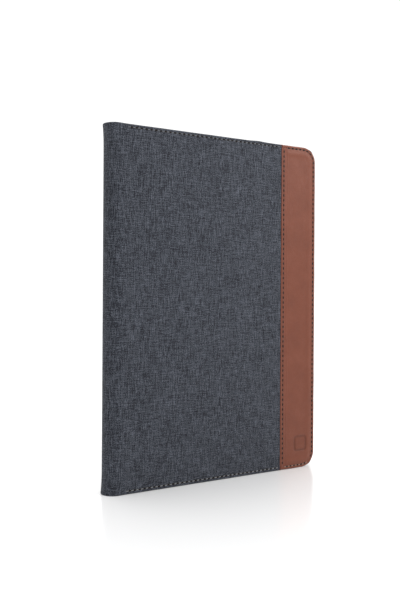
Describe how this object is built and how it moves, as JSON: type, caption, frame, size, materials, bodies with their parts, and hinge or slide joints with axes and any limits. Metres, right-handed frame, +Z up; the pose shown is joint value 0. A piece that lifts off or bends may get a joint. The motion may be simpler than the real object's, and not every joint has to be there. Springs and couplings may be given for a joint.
{
  "type": "tablet keyboard case",
  "caption": "Folding fabric and leather tablet cover with a keyboard in its front half, a tablet tray in its back half and a kickstand.",
  "frame": {"origin": "middle of the case's footprint, on the surface under the short edge that it stands on", "axes": "+Z up along the long edges, spine at -X and free edge at +X, the front cover's outer face looks along -Y"},
  "size_m": [0.188, 0.02, 0.272],
  "materials": {
    "woven_fabric": "heathered blue-grey weave",
    "leather_trim": "red-brown pebbled leather, soft satin",
    "stiffener_board": "pressed fibreboard",
    "microfibre_lining": "brushed microfibre",
    "module_plastic": "fine matte texture",
    "key_plastic": "satin key caps",
    "tray_plastic": "polycarbonate, fine matte texture",
    "key_plate_metal": "plain rolled",
    "membrane_film": "clear printed film",
    "soft_rubber": "matte",
    "dome_rubber": "matte translucent",
    "board_laminate": "solder-masked laminate",
    "chip_plastic": "moulded epoxy",
    "battery_foil": "laminated foil pouch",
    "hinge_steel": "satin",
    "magnet_metal": "nickel plated",
    "socket_steel": "satin",
    "screw_steel": "black oxide",
    "light_plastic": "frosted light pipe",
    "foam": "thin foam pad",
    "camera_trim": "satin ring"
  },
  "bodies": {
    "back_shell": {"tablet_tray": "tray_plastic", "tray_liner": "microfibre_lining", "back_fabric": "woven_fabric", "back_leather_strip": "leather_trim", "back_board": "stiffener_board", "back_foam_pad": "foam", "camera_ring": "camera_trim", "back_edge_rail": "stiffener_board", "back_edge_fabric": "woven_fabric", "magnet_keepers": "hinge_steel", "hinge_fixed_leaves": "hinge_steel", "hinge_pins": "hinge_steel"},
    "spine": {"spine_fabric": "woven_fabric", "spine_board": "stiffener_board", "spine_lining": "microfibre_lining"},
    "front_cover": {"front_fabric": "woven_fabric", "front_leather_strip": "leather_trim", "front_board": "stiffener_board", "front_lining": "microfibre_lining", "closure_magnets": "magnet_metal", "keyboard_base": "module_plastic", "keyboard_deck": "module_plastic", "deck_screws": "screw_steel", "groove_magnets": "magnet_metal", "status_lights": "light_plastic", "screen_bumpers": "soft_rubber", "groove_pad": "soft_rubber", "key_support_plate": "key_plate_metal", "membrane_sheet": "membrane_film", "rubber_dome_sheet": "dome_rubber", "circuit_board": "board_laminate", "controller_chip": "chip_plastic", "radio_module": "socket_steel", "tail_connector": "chip_plastic", "battery_cell": "battery_foil", "usb_socket": "socket_steel", "power_switch_body": "chip_plastic", "pair_switch_body": "chip_plastic"},
    "kickstand": {"kickstand_plate": "stiffener_board", "kickstand_fabric": "woven_fabric", "kickstand_lining": "microfibre_lining", "kickstand_magnets": "magnet_metal", "hinge_moving_leaves": "hinge_steel"},
    "function_row": {"function_keys": "key_plastic"},
    "number_row": {"number_keys": "key_plastic"},
    "upper_row": {"upper_letter_keys": "key_plastic"},
    "home_row": {"home_row_keys": "key_plastic"},
    "lower_row": {"lower_letter_keys": "key_plastic"},
    "bottom_row": {"bottom_row_keys": "key_plastic"},
    "space_key": {"space_bar": "key_plastic"},
    "power_switch": {"power_switch_knob": "key_plastic"},
    "pair_key": {"pair_button": "key_plastic"}
  },
  "joints": [
    {"name": "back_fold", "type": "hinge", "parent": "back_shell", "child": "spine", "pos_m": [-0.0925, 0.0081, 0.136], "axis": [0, 0, -1], "range_deg": [0, 90]},
    {"name": "front_fold", "type": "hinge", "parent": "spine", "child": "front_cover", "pos_m": [-0.0925, -0.0081, 0.136], "axis": [0, 0, -1], "range_deg": [0, 90]},
    {"name": "kickstand_hinge", "type": "hinge", "parent": "back_shell", "child": "kickstand", "pos_m": [-0.003, 0.0081, 0.136], "axis": [0, 0, -1], "range_deg": [0, 60]},
    {"name": "function_row_press", "type": "slide", "parent": "front_cover", "child": "function_row", "axis": [0, -1, 0], "range_m": [0, 0.0014], "stiffness_N_per_m": 400},
    {"name": "number_row_press", "type": "slide", "parent": "front_cover", "child": "number_row", "axis": [0, -1, 0], "range_m": [0, 0.0014], "stiffness_N_per_m": 400},
    {"name": "upper_row_press", "type": "slide", "parent": "front_cover", "child": "upper_row", "axis": [0, -1, 0], "range_m": [0, 0.0014], "stiffness_N_per_m": 400},
    {"name": "home_row_press", "type": "slide", "parent": "front_cover", "child": "home_row", "axis": [0, -1, 0], "range_m": [0, 0.0014], "stiffness_N_per_m": 400},
    {"name": "lower_row_press", "type": "slide", "parent": "front_cover", "child": "lower_row", "axis": [0, -1, 0], "range_m": [0, 0.0014], "stiffness_N_per_m": 400},
    {"name": "bottom_row_press", "type": "slide", "parent": "front_cover", "child": "bottom_row", "axis": [0, -1, 0], "range_m": [0, 0.0014], "stiffness_N_per_m": 400},
    {"name": "space_key_press", "type": "slide", "parent": "front_cover", "child": "space_key", "axis": [0, -1, 0], "range_m": [0, 0.0014], "stiffness_N_per_m": 400},
    {"name": "power_switch_slide", "type": "slide", "parent": "front_cover", "child": "power_switch", "axis": [1, 0, 0], "range_m": [0, 0.003]},
    {"name": "pair_button_press", "type": "slide", "parent": "front_cover", "child": "pair_key", "axis": [0, -1, 0], "range_m": [0, 0.00025], "stiffness_N_per_m": 400}
  ]
}
